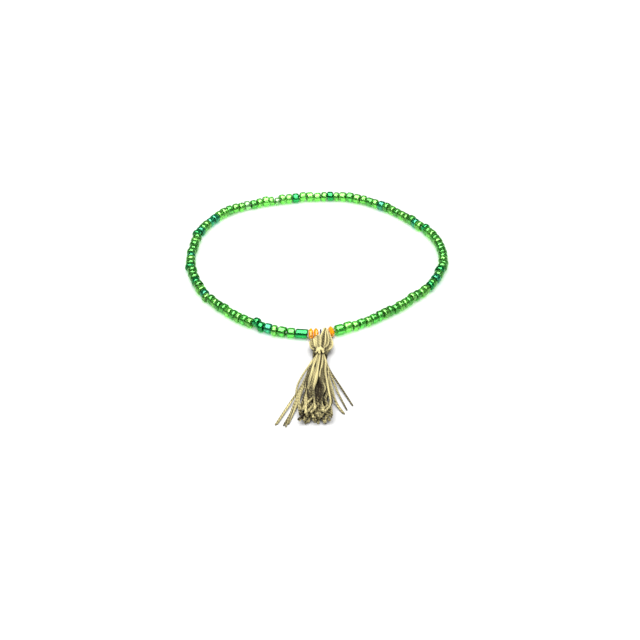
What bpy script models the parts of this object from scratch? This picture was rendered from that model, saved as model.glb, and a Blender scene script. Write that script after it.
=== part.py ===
"""A stretch anklet: a loop of glass seed beads with three faceted beads, a jump ring and a
cotton tassel at its front. It lies flat, its beads and tassel resting on the plane z = 0."""

import math
import random

import bmesh
import bpy
from mathutils import Matrix, Vector

MM = 0.001

# Only the doubled seam of a closed skin lies this close
MERGE_DISTANCE = 0.005 * MM

SHARP_ANGLE = 50
CURVE_STEPS = 24

# Width of the loop between the middle lines of its left and right sides
LOOP_WIDTH = 77.2 * MM

# Green seed beads
BEAD_DIAMETER = 3.0 * MM
BEAD_LENGTH = 2.15 * MM
BEAD_SIDES = 10
BEAD_SHOULDER = 0.31
BEAD_WAIST = 0.62
BEAD_END_FACE = 0.78
BEAD_SEED = 8

# How much hand-picked beads differ, as shares of the usual bead: the spread and the limits of
# their length, their diameter, and how far they sit outward or upward, with their swing in degrees
LENGTH_SPREAD = 0.10
LENGTH_LIMITS = (0.78, 1.22)
DIAMETER_LIMITS = (0.93, 1.04)
OUTWARD_MOST = 0.07
UPWARD_MOST = 0.06
SWING_MOST = 7.0

# Elastic, and the room round it in a bead's hole
ELASTIC_DIAMETER = 0.5 * MM
ELASTIC_SIDES = 8
ELASTIC_STEPS = 10
BORE_CLEARANCE = 0.3 * MM
BORE_DEPTH = 1.2 * MM

# Faceted amber beads
AMBER_DIAMETER = 3.3 * MM
AMBER_LENGTH = 1.35 * MM
AMBER_SIDES = 8
AMBER_TABLE = 0.56
BEAD_GAP = 0.15 * MM
BEAD_GAP_RIGHT = 0.45 * MM

# Jump ring, with the room that it has on the string to its left and its right
RING_OUTER = 3.2 * MM
RING_WIRE = 0.45 * MM
RING_STEPS = 16
WIRE_SIDES = 6
RING_SPACE = 0.25 * MM
ROOM_LEFT = 0.65 * MM
ROOM_RIGHT = 2.4 * MM

# Tassel: its fold in the ring, its head down to the neck, and its skirt
FOLD_DIAMETER = 0.54 * MM
HEAD_LENGTH = 10.5 * MM
HEAD_WIDTH = 7.7 * MM
HEAD_HEIGHT = 4.8 * MM
HEAD_SIDE = 0.2 * MM

# Thickness of the fold at its left end, where it enters the ring, at its middle and at its right
# end; where its ends come out, each as a share of the room on its side, then how far forward of
# the beads or of the fold and how far above the ring's middle, in shares of half its thickness
FOLD_SHAPE = (1.2, 0.94, 1.0, 1.3)
LEFT_BASE = (-1.1, 2.4, 1.0)
RIGHT_BASE = (0.42, 0.5, 2.4)

# How far the crowns spread and how far forward the left ones sit, in shares of half the fold;
# the right ones lean back over the elastic, the higher the further, up to a length
CROWN_SPREAD = 1.3
CROWN_FORWARD = 1.8
CROWN_BACK = 1.6 * MM

# Thickness of a head lock where it starts inside the fold and at its crown, as shares of the
# fold's, and at its belly as a share of the head's width; how far the starts spread and how deep
# they sit inside the fold; the belly's place as a share of the head's length, and how far the
# lock runs straight before and after the neck
CROWN_LOCK = (0.75, 1.75)
ROOT_SPREAD = 0.4
ROOT_DEPTH = 0.25
BELLY_LOCK = 0.13
BELLY_PLACE = 0.46
NECK_RUN = (0.14, 0.10)

NECK_DIAMETER = 3.3 * MM
NECK_LOCK = 0.16
NECK_CORE = 0.9
NECK_STRAIGHT = 0.4
NECK_SIDE = -0.2 * MM

# The skirt spreads quickly below the neck and settles on the surface within a share of its length
SKIRT_LENGTH = 27.3 * MM
SKIRT_WIDTH = 9.9 * MM
SKIRT_HEIGHT = 5.4 * MM
SKIRT_SIDE = -1.4 * MM
SKIRT_LIFT = 0.06 * MM
SKIRT_FLARE = 2.2
SKIRT_SETTLES = 0.22

# Locks of the skirt, the inner row at a depth between its middle and its outside. Reaches are
# shares of the skirt's length; swirl and scatter are turns round the skirt, in radians and steps
LOCK_DIAMETER = 1.7 * MM
LOCK_TOP = 0.72
STRAY_DIAMETER = 0.7 * MM
LOCK_SIDES = 6
OUTER_LOCKS = 13
INNER_LOCKS = 4
INNER_DEPTH = 0.42
OUTER_REACH = (0.93, 1.0)
INNER_REACH = (0.84, 0.92)
TIP_THINNING = (0.8, 0.96)
LOCK_SWIRL = 0.10
LOCK_SCATTER = 0.18
TASSEL_SEED = 5

# Binding at the tassel's neck
BINDING_THREAD = 0.5 * MM
BINDING_TURNS = 6
BINDING_SPACE = 0.3 * MM
BINDING_STEPS = 16
KNOT_DIAMETER = 1.7 * MM
KNOT_SHAPE = (1.0, 1.25, 0.5)
KNOT_FACETS = (8, 6)

# The middle line of the string seen from above, in millimetres where the loop is as wide as its
# points: it starts at the jump ring and runs to the right, round the back and home on the left
STRING_ROUTE = (
    (0.9, -39.0), (10.4, -35.1), (18.3, -29.9), (25.3, -24.0), (31.5, -17.1), (36.4, -8.7),
    (38.6, 1.0), (37.1, 11.0), (32.2, 19.8), (25.9, 27.3), (18.3, 33.7), (9.0, 37.7),
    (-1.0, 38.0), (-10.7, 36.2), (-20.5, 33.4), (-29.6, 28.1), (-35.7, 19.4), (-38.3, 9.2),
    (-38.6, -1.0), (-36.9, -10.9), (-32.7, -20.0), (-26.3, -27.7), (-18.5, -34.1), (-9.2, -38.3),
)

# Beads that stand out of the line. Columns: share of the way round the string, length and
# diameter as shares of the usual bead, and how far outward and upward as shares of its diameter
STANDOUT_BEADS = (
    (0.000, 1.60, 1.05, 0.00, 0.00),
    (0.118, 0.80, 0.92, -0.10, 0.16),
    (0.161, 0.85, 0.95, 0.12, 0.10),
    (0.306, 0.80, 0.95, 0.22, 0.06),
    (0.398, 0.90, 0.95, -0.08, 0.10),
    (0.540, 0.72, 0.85, -0.10, 0.00),
    (0.688, 0.85, 0.92, 0.20, 0.10),
    (0.772, 0.80, 0.95, 0.20, 0.04),
    (0.848, 0.85, 0.90, 0.16, 0.00),
    (0.938, 1.00, 1.00, 0.02, 0.00),
    (0.947, 0.95, 0.95, -0.10, 0.24),
    (0.956, 0.82, 1.02, 0.08, 0.00),
    (0.965, 1.08, 1.00, 0.00, 0.02),
    (0.974, 0.82, 1.08, 0.10, 0.00),
    (0.982, 1.18, 1.03, 0.02, 0.00),
    (0.991, 1.14, 1.00, -0.02, 0.00),
    (1.000, 1.66, 0.92, 0.00, 0.00),
)

# Locks of the tassel's head, each from the fold in the jump ring over a crown and a belly to
# the neck. Columns: side (-1 left, 1 right), crown height and belly height as shares of the
# head's height, belly offset as a share of its half width
HEAD_LOCKS = (
    (-1, 0.42, 0.33, -0.98),
    (-1, 0.55, 0.60, -0.72),
    (-1, 0.64, 0.80, -0.22),
    (1, 0.50, 0.31, 0.96),
    (1, 0.64, 0.58, 0.84),
    (1, 0.74, 0.80, 0.34),
    (1, 0.46, 0.26, 0.12),
)

# The bundle's inside, hidden by the locks. Columns: share of the head's length from the ring,
# and width and height as shares of the head's
HEAD_CORE = (
    (0.30, 0.30, 0.26),
    (0.46, 0.66, 0.62),
    (0.66, 0.58, 0.60),
)

# The same inside the skirt, at shares of its length, and its thickness as a share of the skirt's
SKIRT_CORE = (0.30, 0.55, 0.78)
CORE_THICKNESS = 0.66
CORE_SIDES = 10

# Loose ends beside the skirt. Columns: where each leaves the skirt and how far its tip reaches
# as shares of the skirt's length, and the sideways places of a point midway and of the tip as
# shares of the skirt's half width
STRAY_LOCKS = (
    (0.48, 1.05, -1.42, -2.10),
    (0.46, 1.08, -1.14, -1.54),
    (0.12, 0.78, -1.02, -1.04),
    (0.24, 0.75, 1.46, 2.06),
    (0.30, 0.82, 1.26, 1.74),
    (0.62, 0.88, 1.22, 1.60),
)


def clear_scene():
    for thing in list(bpy.data.objects):
        bpy.data.objects.remove(thing, do_unlink=True)


def make_material(name, colour, roughness, metallic=0.0, transmission=0.0):
    material = bpy.data.materials.new(name)
    material.use_nodes = True
    shader = material.node_tree.nodes["Principled BSDF"]
    shader.inputs["Base Color"].default_value = (*colour, 1.0)
    shader.inputs["Roughness"].default_value = roughness
    shader.inputs["Metallic"].default_value = metallic
    shader.inputs["Transmission Weight"].default_value = transmission
    material.diffuse_color = (*colour, 1.0)
    return material


def make_mesh(bm, name):
    bmesh.ops.recalc_face_normals(bm, faces=bm.faces)
    mesh = bpy.data.meshes.new(name)
    bm.to_mesh(mesh)
    bm.free()
    return mesh


def make_object(name, mesh, material, matrix=None, sharp_above=SHARP_ANGLE):
    if not mesh.materials:
        mesh.materials.append(material)
    mesh.shade_smooth()
    mesh.set_sharp_from_angle(angle=math.radians(sharp_above))
    thing = bpy.data.objects.new(name, mesh)
    bpy.context.scene.collection.objects.link(thing)
    if matrix is not None:
        thing.matrix_world = matrix
    return thing


def spline(points, closed, steps):
    """A smooth curve through the points (Catmull-Rom), with as many steps in each span."""
    count = len(points)
    curve = []
    for span in range(count if closed else count - 1):
        if closed:
            near = [points[(span + k) % count] for k in (-1, 0, 1, 2)]
        else:
            near = [points[min(max(span + k, 0), count - 1)] for k in (-1, 0, 1, 2)]
        p0, p1, p2, p3 = near
        for step in range(steps):
            t = step / steps
            curve.append(0.5 * (2 * p1 + (p2 - p0) * t + (2 * p0 - 5 * p1 + 4 * p2 - p3) * t ** 2
                                + (3 * p1 - p0 - 3 * p2 + p3) * t ** 3))
    if not closed:
        curve.append(points[-1].copy())
    return curve


class Route:
    """The string's middle line, read by the distance along it from the jump ring."""

    def __init__(self, points):
        across = [x for x, _ in points]
        scale = LOOP_WIDTH / (max(across) - min(across))
        self.curve = spline([Vector((x, y, 0)) * scale for x, y in points], True, CURVE_STEPS)
        self.curve.append(self.curve[0].copy())
        self.reach = [0.0]
        for a, b in zip(self.curve, self.curve[1:]):
            self.reach.append(self.reach[-1] + (b - a).length)
        self.length = self.reach[-1]

    def point(self, distance):
        distance %= self.length
        low = 0
        high = len(self.reach) - 1
        while high - low > 1:
            middle = (low + high) // 2
            if self.reach[middle] <= distance:
                low = middle
            else:
                high = middle
        share = (distance - self.reach[low]) / (self.reach[high] - self.reach[low])
        return self.curve[low].lerp(self.curve[high], share)

    def direction(self, distance):
        ahead = self.point(distance + BEAD_LENGTH / 4)
        behind = self.point(distance - BEAD_LENGTH / 4)
        return (ahead - behind).normalized()

    def outward(self, distance):
        return self.direction(distance).cross(Vector((0, 0, 1)))


def circle(centre, direction, half_width, half_height=None, roll=0.0):
    """One section of a skin: a circle or ellipse square to a direction, with its height upright."""
    side = Vector((0, 0, 1)).cross(direction).normalized()
    upright = direction.cross(side)
    turn = Matrix((side, upright, direction)).transposed().to_4x4()
    size = Matrix.Diagonal((half_width, half_height or half_width, 1, 1))
    return Matrix.Translation(centre) @ turn @ size @ Matrix.Rotation(roll, 4, "Z")


def skin(sections, sides, closed=False):
    """Draws a circle out through the sections to one tube, capped or closed on itself."""
    bm = bmesh.new()
    first = bmesh.ops.create_circle(bm, cap_ends=False, radius=1, segments=sides)["verts"]
    corners = [vert.co.copy() for vert in first]
    place_ring(first, corners, sections[0])
    ring = first
    for section in sections[1:] + (sections[:1] if closed else []):
        edges = ring_edges(ring)
        grown = set(bmesh.ops.extrude_edge_only(bm, edges=edges)["geom"])
        ring = [next(edge.other_vert(vert) for edge in vert.link_edges if edge.other_vert(vert) in grown)
                for vert in ring]
        place_ring(ring, corners, section)
    if closed:
        bmesh.ops.remove_doubles(bm, verts=first + ring, dist=MERGE_DISTANCE)
    else:
        bmesh.ops.contextual_create(bm, geom=ring_edges(first))
        bmesh.ops.contextual_create(bm, geom=ring_edges(ring))
    bmesh.ops.triangulate(bm, faces=bm.faces, quad_method="SHORT_EDGE")
    return bm


def place_ring(ring, corners, section):
    for vert, corner in zip(ring, corners):
        vert.co = section @ corner


def ring_edges(ring):
    around = set(ring)
    return list({edge for vert in ring for edge in vert.link_edges if edge.other_vert(vert) in around})


def polygon_radius(radius, sides):
    """The corner radius of a polygon whose flat sides touch a circle."""
    return radius / math.cos(math.pi / sides)


def bead_chart(run):
    """Every green bead as (length, diameter, outward, upward, swing), filling the run of string."""
    dice = random.Random(BEAD_SEED)
    count = round(run / BEAD_LENGTH)
    beads = []
    for _ in range(count):
        length = min(max(dice.gauss(1.0, LENGTH_SPREAD), LENGTH_LIMITS[0]), LENGTH_LIMITS[1])
        diameter = dice.uniform(*DIAMETER_LIMITS)
        outward = dice.uniform(-OUTWARD_MOST, OUTWARD_MOST)
        upward = max(0.0, dice.uniform(-UPWARD_MOST, UPWARD_MOST))
        swing = dice.uniform(-SWING_MOST, SWING_MOST)
        beads.append([length, diameter, outward, upward, swing])
    for share, length, diameter, outward, upward in STANDOUT_BEADS:
        beads[round(share * (count - 1))][:4] = length, diameter, outward, upward
    for end in (beads[0], beads[-1]):
        end[4] = 0.0
    fit = run / sum(bead[0] for bead in beads)
    return [(length * fit, diameter * BEAD_DIAMETER, outward * BEAD_DIAMETER,
             upward * BEAD_DIAMETER, math.radians(swing))
            for length, diameter, outward, upward, swing in beads]


def string_height():
    """Height of the elastic at the front, where the widest bead on it touches the surface."""
    widest_green = max(row[2] for row in (STANDOUT_BEADS[0], STANDOUT_BEADS[-1])) * BEAD_DIAMETER / 2
    amber = AMBER_DIAMETER / 2 * math.cos(math.pi / AMBER_SIDES)
    return max(widest_green, amber)


def amber_places():
    """Distances from the jump ring to the middle of each amber bead; left ones are negative."""
    first_left = ROOM_LEFT + AMBER_LENGTH / 2
    second_left = first_left + BEAD_GAP + AMBER_LENGTH
    return (-second_left, -first_left, ROOM_RIGHT + AMBER_LENGTH / 2)


def green_ends():
    """Distances from the jump ring to the first and last green beads, round to the right."""
    left, _, right = amber_places()
    return right + AMBER_LENGTH / 2 + BEAD_GAP_RIGHT, -left + AMBER_LENGTH / 2 + BEAD_GAP


def bore_radius():
    return ELASTIC_DIAMETER / 2 + BORE_CLEARANCE


def build_bead_string(route, material):
    start, end_gap = green_ends()
    beads = bead_chart(route.length - start - end_gap)
    roll = math.pi / BEAD_SIDES
    height = string_height()

    def section(centre, direction, radius):
        return circle(centre, direction, polygon_radius(radius, BEAD_SIDES), roll=roll)

    def end_sections(distance, depth, radius):
        face = route.point(distance) + Vector((0, 0, height))
        inside = route.point(distance + depth) + Vector((0, 0, height))
        along = route.direction(distance)
        return [section(inside, along, bore_radius()), section(face, along, bore_radius()),
                section(face, along, radius)]

    sections = end_sections(start, BORE_DEPTH, beads[0][1] / 2 * BEAD_END_FACE)
    distance = start
    last = len(beads) - 1
    for number, (length, diameter, outward, upward, swing) in enumerate(beads):
        radius = diameter / 2
        middle = distance + length / 2
        is_end = number in (0, last)
        centre = route.point(middle) + outward * route.outward(middle)
        centre.z = height if is_end else radius + upward
        along = Matrix.Rotation(swing, 3, "Z") @ route.direction(middle)
        shoulder = length / 2 - (0.5 - BEAD_SHOULDER) * min(length, BEAD_LENGTH)
        sections.append(section(centre - along * shoulder, along, radius))
        sections.append(section(centre + along * shoulder, along, radius))
        distance += length
        if number < last:
            _, next_diameter, next_outward, next_upward, _ = beads[number + 1]
            next_height = height if number + 1 == last else next_diameter / 2 + next_upward
            waist = route.point(distance) + (outward + next_outward) / 2 * route.outward(distance)
            waist.z = (centre.z + next_height) / 2
            thin = min(diameter, next_diameter) / 2 * BEAD_WAIST
            sections.append(section(waist, route.direction(distance), thin))
    sections.extend(reversed(end_sections(distance, -BORE_DEPTH, beads[-1][1] / 2 * BEAD_END_FACE)))
    return make_object("bead_string", make_mesh(skin(sections, BEAD_SIDES), "bead_string"), material)


def build_elastic(route, material):
    right, left = green_ends()
    inside = BORE_DEPTH - BORE_CLEARANCE
    first = -left - inside
    sections = []
    for step in range(ELASTIC_STEPS + 1):
        distance = first + (right + left + 2 * inside) * step / ELASTIC_STEPS
        centre = route.point(distance) + Vector((0, 0, string_height()))
        sections.append(circle(centre, route.direction(distance), ELASTIC_DIAMETER / 2))
    return make_object("elastic_cord", make_mesh(skin(sections, ELASTIC_SIDES), "elastic_cord"), material)


def build_ambers(route, material):
    """Rondelles with a flat table at each end, a belt of sharp corners and a drilled hole."""
    half = Vector((0, 0, AMBER_LENGTH / 2))
    along = Vector((0, 0, 1))
    bore = polygon_radius(bore_radius(), AMBER_SIDES)
    half_step = math.pi / AMBER_SIDES

    def section(centre, radius, roll):
        return Matrix.Translation(centre) @ Matrix.Diagonal((radius, radius, 1, 1)) @ \
            Matrix.Rotation(roll, 4, along)

    sections = [
        section(-half, bore, 0),
        section(-half, AMBER_DIAMETER / 2 * AMBER_TABLE, 0),
        section(Vector(), AMBER_DIAMETER / 2, half_step),
        section(half, AMBER_DIAMETER / 2 * AMBER_TABLE, 0),
        section(half, bore, 0),
    ]
    mesh = make_mesh(skin(sections, AMBER_SIDES, closed=True), "amber_bead")
    ambers = []
    for number, distance in enumerate(amber_places(), start=1):
        centre = route.point(distance) + Vector((0, 0, string_height()))
        place = circle(centre, route.direction(distance), 1)
        ambers.append(make_object(f"amber_bead_{number}", mesh, material, place, sharp_above=12))
    return ambers


def ring_centre(route):
    """The jump ring stands on the surface, its back just clear of the elastic inside it."""
    elastic = route.point(0) + Vector((0, 0, string_height()))
    offset = RING_OUTER / 2 - RING_WIRE - ELASTIC_DIAMETER / 2 - RING_SPACE
    rise = min(max(0.0, RING_OUTER / 2 - elastic.z), offset)
    forward = math.sqrt(offset ** 2 - rise ** 2)
    return elastic + Vector((0, -forward, rise))


def build_jump_ring(route, material):
    bm = bmesh.new()
    middle = (RING_OUTER - RING_WIRE) / 2
    made = bmesh.ops.create_circle(bm, cap_ends=False, radius=RING_WIRE / 2, segments=WIRE_SIDES,
                                   matrix=Matrix.Translation((0, middle, 0)))
    edges = list({edge for vert in made["verts"] for edge in vert.link_edges})
    bmesh.ops.spin(bm, geom=made["verts"] + edges, cent=(0, 0, 0), axis=(1, 0, 0),
                   angle=math.tau, steps=RING_STEPS, use_merge=True)
    place = Matrix.Translation(ring_centre(route))
    return make_object("jump_ring", make_mesh(bm, "jump_ring"), material, place, sharp_above=80)


def lock(points, radii, steps=2, sides=LOCK_SIDES, roll=0.0):
    """A soft lock of threads: a tube through the points, its radius blended between theirs."""
    curve = spline(points, False, steps)
    sections = []
    for number, centre in enumerate(curve):
        ahead = curve[min(number + 1, len(curve) - 1)]
        behind = curve[max(number - 1, 0)]
        span = min(number // steps, len(radii) - 2)
        share = number / steps - span
        radius = radii[span] + (radii[span + 1] - radii[span]) * share
        sections.append(circle(centre, (ahead - behind).normalized(), radius, roll=roll))
    return skin(sections, sides)


def fuse(name, core, pieces, material):
    """Joins the pieces to the core in one solid and fills the sealed pockets between them."""
    body = make_object(name, make_mesh(core, name), material)
    for piece in pieces:
        other = bpy.data.objects.new(name + "_piece", make_mesh(piece, name + "_piece"))
        bpy.context.scene.collection.objects.link(other)
        join = body.modifiers.new("join", "BOOLEAN")
        join.operation = "UNION"
        join.solver = "MANIFOLD"
        join.object = other
        joined = body.evaluated_get(bpy.context.evaluated_depsgraph_get())
        mesh = bpy.data.meshes.new_from_object(joined)
        body.modifiers.remove(join)
        bpy.data.objects.remove(other, do_unlink=True)
        body.data = mesh
    bm = bmesh.new()
    bm.from_mesh(body.data)
    keep_largest_shell(bm)
    bmesh.ops.triangulate(bm, faces=bm.faces)
    bm.to_mesh(body.data)
    bm.free()
    body.data.name = name
    body.data.shade_smooth()
    body.data.set_sharp_from_angle(angle=math.radians(SHARP_ANGLE))
    return body


def keep_largest_shell(bm):
    """Keeps the outer shell, without the slivers and sealed pockets between joined pieces."""
    waiting = set(bm.faces)
    shells = []
    while waiting:
        shell = {waiting.pop()}
        reached = list(shell)
        while reached:
            near = {other for edge in reached.pop().edges for other in edge.link_faces} - shell
            shell |= near
            reached += near
        waiting -= shell
        shells.append(shell)
    largest = max(shells, key=len)
    bmesh.ops.delete(bm, geom=[face for face in bm.faces if face not in largest], context="FACES")


def neck_centre(route):
    ring = ring_centre(route)
    outer = NECK_DIAMETER / 2 + BINDING_SPACE + BINDING_THREAD
    return Vector((ring.x + NECK_SIDE, ring.y - HEAD_LENGTH, outer))


def skirt_section(route, share):
    """Centre, half width and half height of the skirt at a share of its length from the neck."""
    neck = neck_centre(route)
    spread = 1 - (1 - min(share, 1.0)) ** SKIRT_FLARE
    half_width = (NECK_DIAMETER + (SKIRT_WIDTH - NECK_DIAMETER) * spread) / 2
    half_height = (NECK_DIAMETER + (SKIRT_HEIGHT - NECK_DIAMETER) * spread) / 2
    settled = min(1.0, share / SKIRT_SETTLES)
    height = neck.z + (half_height + SKIRT_LIFT - neck.z) * settled
    centre = Vector((neck.x + SKIRT_SIDE * share, neck.y - SKIRT_LENGTH * share, height))
    return centre, half_width, half_height


def skirt_point(route, share, angle, depth, radius):
    """A point of the skirt at an angle round it, at a depth from 0 at its middle to 1 outside."""
    centre, half_width, half_height = skirt_section(route, share)
    across = (half_width - radius) * depth * math.cos(angle)
    upright = (half_height - radius) * depth * math.sin(angle)
    return centre + Vector((across, 0, upright))


def skirt_locks(route):
    """An outer row of locks round the skirt and an inner row that ends a little short of it."""
    dice = random.Random(TASSEL_SEED)
    full = LOCK_DIAMETER / 2
    at_neck = NECK_DIAMETER * NECK_LOCK
    rows = [(OUTER_LOCKS, 1.0, OUTER_REACH), (INNER_LOCKS, INNER_DEPTH, INNER_REACH)]
    locks = []
    for count, depth, reaches in rows:
        for number in range(count):
            scatter = dice.uniform(-LOCK_SCATTER, LOCK_SCATTER)
            angle = -math.pi / 2 + math.tau * (number + scatter) / count
            reach = dice.uniform(*reaches)
            swirl = dice.uniform(-LOCK_SWIRL, LOCK_SWIRL)
            radii = [at_neck, full * LOCK_TOP, full, full * dice.uniform(*TIP_THINNING)]
            points = [skirt_point(route, 0, angle, depth * NECK_CORE, radii[0]),
                      skirt_point(route, reach * 0.30, angle + swirl, depth, radii[1]),
                      skirt_point(route, reach * 0.66, angle - swirl, depth, radii[2]),
                      skirt_point(route, reach, angle + swirl, depth, radii[3])]
            locks.append(lock(points, radii, roll=dice.uniform(0, 1)))
    return locks


def stray_locks(route):
    """Loose ends that leave the skirt low down on either side and come to lie on the surface."""
    neck = neck_centre(route)
    side_end = neck.x + SKIRT_SIDE
    half = SKIRT_WIDTH / 2
    thin = STRAY_DIAMETER / 2
    locks = []
    for leave, reach, middle, tip in STRAY_LOCKS:
        start, half_width, half_height = skirt_section(route, leave)
        start.x += math.copysign(half_width - LOCK_DIAMETER / 2, tip)
        start.z -= half_height / 3
        midway = (leave + reach) / 2
        points = [start,
                  Vector((side_end + middle * half, neck.y - SKIRT_LENGTH * midway, thin * 2)),
                  Vector((side_end + tip * half, neck.y - SKIRT_LENGTH * reach, thin + SKIRT_LIFT))]
        locks.append(lock(points, [thin, thin, thin * 0.8], steps=3))
    return locks


def head_locks(route):
    """The fold that passes through the ring in front of the elastic, and the locks that spread
    from its two ends over the head and close up again at the neck."""
    ring = ring_centre(route)
    neck = neck_centre(route)
    elastic = route.point(0) + Vector((0, 0, string_height()))
    away = (ring - elastic).normalized()
    thin = FOLD_DIAMETER / 2
    fold = ring + away * (RING_OUTER / 2 - RING_WIRE - RING_SPACE * 0.8 - thin)
    left_way = fold + Vector((-ROOM_LEFT * 0.7, -RING_WIRE, 0))
    amber_front = elastic.y - AMBER_DIAMETER / 2
    across, forward, upward = LEFT_BASE
    left_base = Vector((ring.x + ROOM_LEFT * across, amber_front - forward * thin, ring.z + upward * thin))
    across, forward, upward = RIGHT_BASE
    right_base = Vector((ring.x + ROOM_RIGHT * across, fold.y - forward * thin, ring.z + upward * thin))
    locks = [lock([left_base, left_way, fold, right_base], [thin * share for share in FOLD_SHAPE],
                  steps=3)]
    belly_radius = HEAD_WIDTH * BELLY_LOCK
    neck_radius = NECK_DIAMETER * NECK_LOCK
    inward = NECK_DIAMETER / 2 - neck_radius
    right_heights = [row[1] for row in HEAD_LOCKS if row[0] > 0]
    lowest, highest = min(right_heights), max(right_heights)
    for side, crown_height, belly_height, across in HEAD_LOCKS:
        base = left_base if side < 0 else right_base
        start = base.lerp(fold, ROOT_DEPTH)
        start += Vector((across, side / 2, belly_height - 0.5)) * thin * ROOT_SPREAD
        crown = Vector((base.x + across * CROWN_SPREAD * thin, base.y, crown_height * HEAD_HEIGHT))
        if side < 0:
            crown.y -= CROWN_FORWARD * thin
        else:
            crown.y += CROWN_BACK * (crown_height - lowest) / (highest - lowest)
        belly = Vector((ring.x + HEAD_SIDE + across * (HEAD_WIDTH / 2 - belly_radius),
                        ring.y - HEAD_LENGTH * BELLY_PLACE,
                        belly_height * HEAD_HEIGHT))
        angle = math.atan2(belly.z - HEAD_HEIGHT / 2, belly.x - ring.x - HEAD_SIDE)
        outward = Vector((math.cos(angle), 0, math.sin(angle))) * inward
        hold = neck + outward + Vector((0, HEAD_LENGTH * NECK_RUN[0], 0))
        end = neck + outward * NECK_CORE - Vector((0, HEAD_LENGTH * NECK_RUN[1], 0))
        at_fold, at_crown = (thin * share for share in CROWN_LOCK)
        locks.append(lock([start, crown, belly, hold, end],
                          [at_fold, at_crown, belly_radius, neck_radius, neck_radius],
                          roll=across))
    return locks


def tassel_core(route):
    """The bundle's inside, hidden by the locks: from the head through the neck into the skirt."""
    ring = ring_centre(route)
    neck = neck_centre(route)
    top = Vector((ring.x + HEAD_SIDE, ring.y, HEAD_HEIGHT / 2))
    forward = Vector((0, -1, 0))
    hold = forward * BINDING_TURNS * BINDING_THREAD * NECK_STRAIGHT
    sections = [circle(top.lerp(neck, share), forward, HEAD_WIDTH / 2 * width, HEAD_HEIGHT / 2 * height)
                for share, width, height in HEAD_CORE]
    sections.append(circle(neck - hold, forward, NECK_DIAMETER / 2 * NECK_CORE))
    sections.append(circle(neck + hold, forward, NECK_DIAMETER / 2 * NECK_CORE))
    for share in SKIRT_CORE:
        centre, half_width, half_height = skirt_section(route, share)
        sections.append(circle(centre, forward, half_width * CORE_THICKNESS, half_height * CORE_THICKNESS))
    return skin(sections, CORE_SIDES)


def build_tassel(route, material):
    pieces = head_locks(route) + skirt_locks(route) + stray_locks(route)
    return fuse("tassel", tassel_core(route), pieces, material)


def build_binding(route, material):
    """Close turns of thread in one ring round the neck, with a knot on top."""
    inner = NECK_DIAMETER / 2 + BINDING_SPACE
    outer = inner + BINDING_THREAD
    middle = (inner + outer) / 2
    half = BINDING_TURNS * BINDING_THREAD / 2
    outline = [Vector((0, half, inner)), Vector((0, -half, inner))]
    for turn in range(BINDING_TURNS):
        start = turn * BINDING_THREAD - half
        outline.append(Vector((0, start, middle)))
        outline.append(Vector((0, start + BINDING_THREAD / 4, outer)))
        outline.append(Vector((0, start + BINDING_THREAD * 3 / 4, outer)))
    outline.append(Vector((0, half, middle)))
    bm = bmesh.new()
    verts = [bm.verts.new(point) for point in outline]
    edges = [bm.edges.new(pair) for pair in zip(verts, verts[1:] + verts[:1])]
    bmesh.ops.spin(bm, geom=verts + edges, cent=(0, 0, 0), axis=(0, 1, 0), angle=math.tau,
                   steps=BINDING_STEPS, use_merge=True)
    neck = neck_centre(route)
    bmesh.ops.translate(bm, verts=bm.verts, vec=neck)
    place = Matrix.Translation(neck + Vector((0, 0, outer)))
    knot = bmesh.new()
    bmesh.ops.create_uvsphere(knot, u_segments=KNOT_FACETS[0], v_segments=KNOT_FACETS[1],
                              radius=KNOT_DIAMETER / 2,
                              matrix=place @ Matrix.Diagonal((*KNOT_SHAPE, 1)))
    return fuse("tassel_binding", bm, [knot], material)


def centre_on_origin(pieces):
    """Hangs the pieces on one empty, placed so that the middle of their box is over the origin."""
    anklet = bpy.data.objects.new("anklet", None)
    bpy.context.scene.collection.objects.link(anklet)
    corners = [piece.matrix_world @ vert.co for piece in pieces for vert in piece.data.vertices]
    middle = [(min(corner[axis] for corner in corners) + max(corner[axis] for corner in corners)) / 2
              for axis in range(2)]
    for piece in pieces:
        piece.parent = anklet
    anklet.location = (-middle[0], -middle[1], 0)
    bpy.context.view_layer.update()


def build():
    clear_scene()
    green = make_material("green_glass", (0.05, 0.48, 0.09), 0.08, transmission=0.7)
    amber = make_material("amber_glass", (0.9, 0.33, 0.01), 0.05, transmission=0.5)
    clear = make_material("clear_elastic", (0.85, 0.87, 0.85), 0.2, transmission=0.6)
    silver = make_material("plated_wire", (0.75, 0.75, 0.77), 0.2, metallic=1.0)
    cotton = make_material("cotton_floss", (0.52, 0.44, 0.17), 0.8)
    route = Route(STRING_ROUTE)
    pieces = [build_bead_string(route, green), build_elastic(route, clear)]
    pieces += build_ambers(route, amber)
    pieces += [build_jump_ring(route, silver), build_tassel(route, cotton), build_binding(route, cotton)]
    centre_on_origin(pieces)


build()
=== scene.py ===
# %% [markdown]
# # A stretch anklet of glass seed beads with a cotton tassel
#
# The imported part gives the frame: where every bead, the jump ring and the tassel lie. This
# lesson puts the real surfaces on it, one piece at a time: drilled glass beads, clear elastic,
# faceted amber beads, a plated ring and a tassel of single cotton threads.

# %% Load the frame
import math
import random

import bmesh
import bpy
from mathutils import Matrix, Vector


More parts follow.
